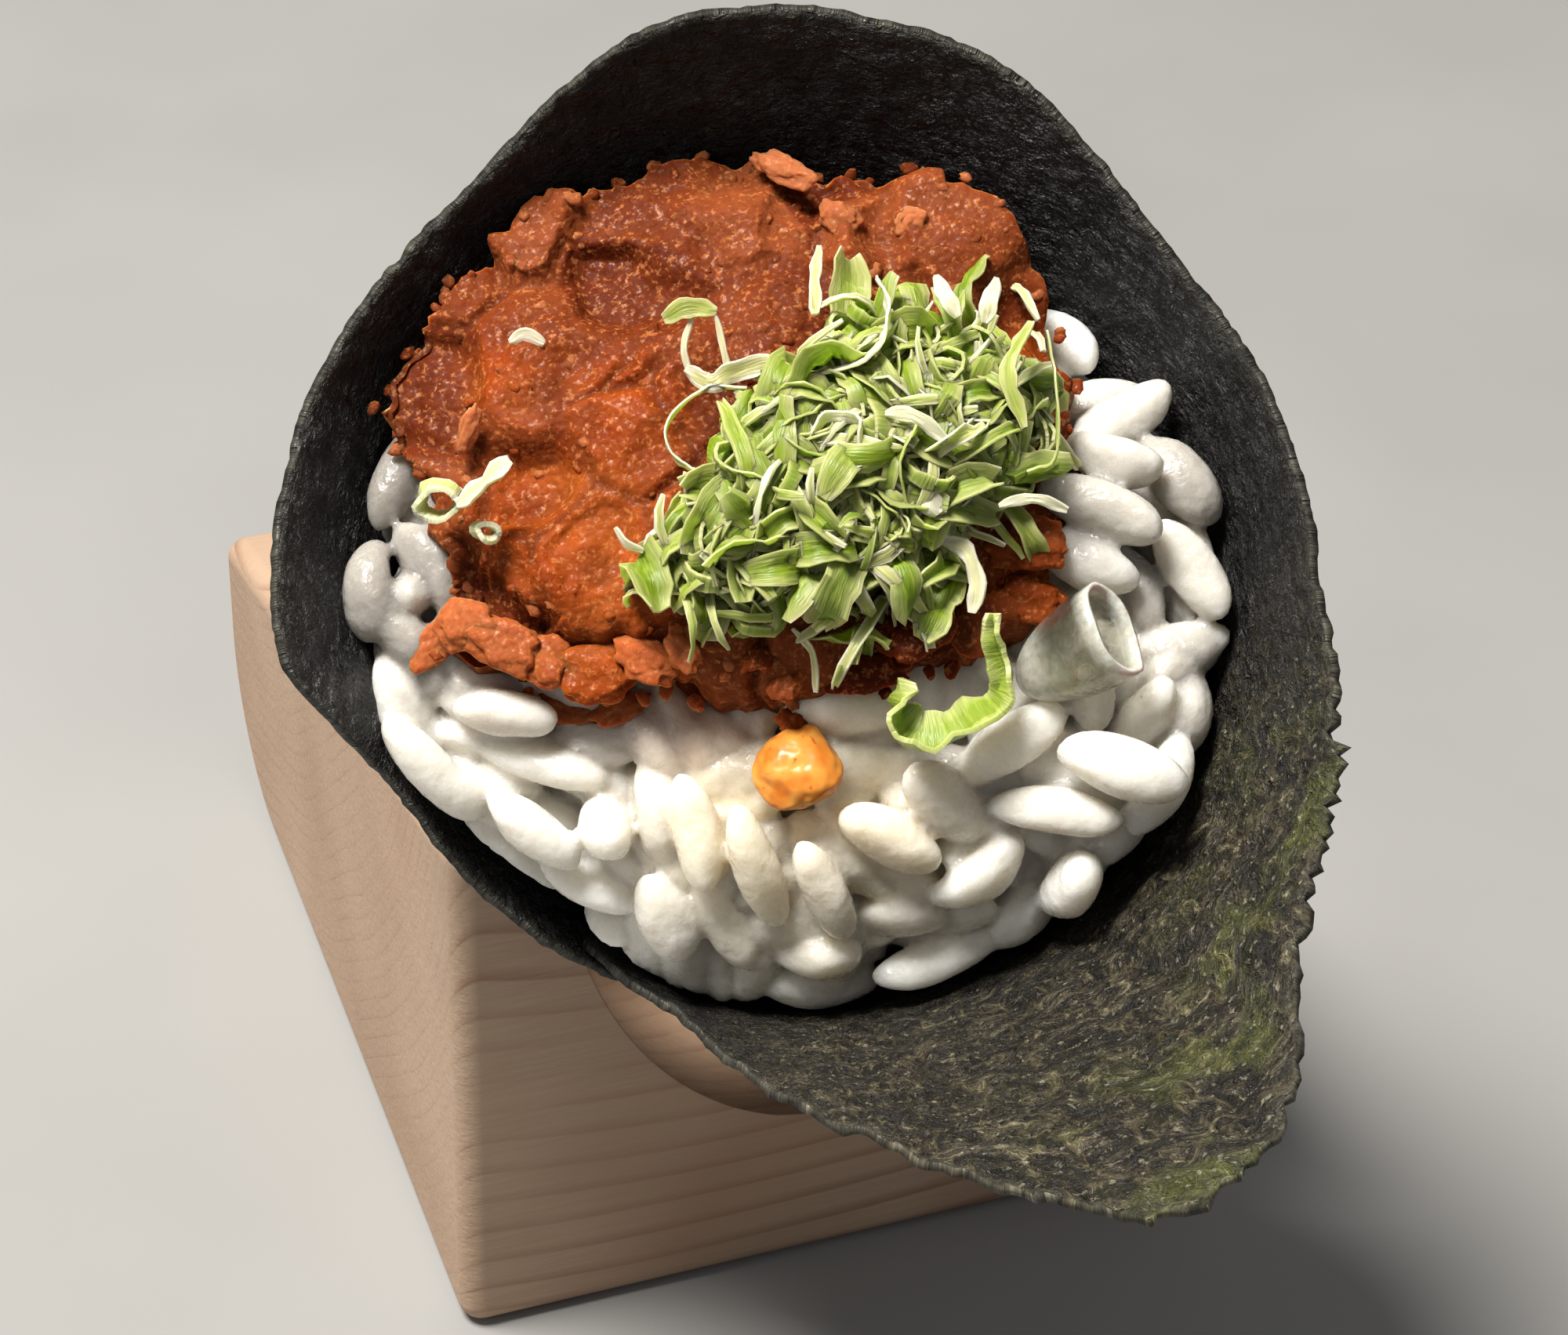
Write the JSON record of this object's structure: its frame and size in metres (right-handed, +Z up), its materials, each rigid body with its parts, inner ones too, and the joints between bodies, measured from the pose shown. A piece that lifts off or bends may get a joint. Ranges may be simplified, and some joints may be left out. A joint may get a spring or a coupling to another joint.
{
  "type": "temaki hand roll",
  "caption": "Temaki hand roll: a seaweed cone filled with rice, minced tuna and sliced scallion, standing in the slanted bore of a wooden block.",
  "frame": {"origin": "middle of the wooden holder's underside, on the surface it stands on", "axes": "+Z up, +X along the holder's front face to the right, -Y towards the front that the roll leans over"},
  "size_m": [0.0641, 0.1211, 0.0902],
  "materials": {
    "wood": "planed, unvarnished",
    "seaweed": "roasted seaweed, dry and fibrous",
    "rice": "cooked rice, moist",
    "tuna": "minced raw fish, moist",
    "scallion": "fresh sliced leaf",
    "pale_stem": "fresh sliced stem, translucent",
    "sauce": "thick sauce, glossy"
  },
  "bodies": {
    "root": {"holder": "wood", "nori": "seaweed", "rice": "rice", "tuna": "tuna", "scallions": "scallion", "scallion_curl": "scallion", "onion_ring": "pale_stem", "sauce_drop": "sauce"}
  },
  "joints": []
}
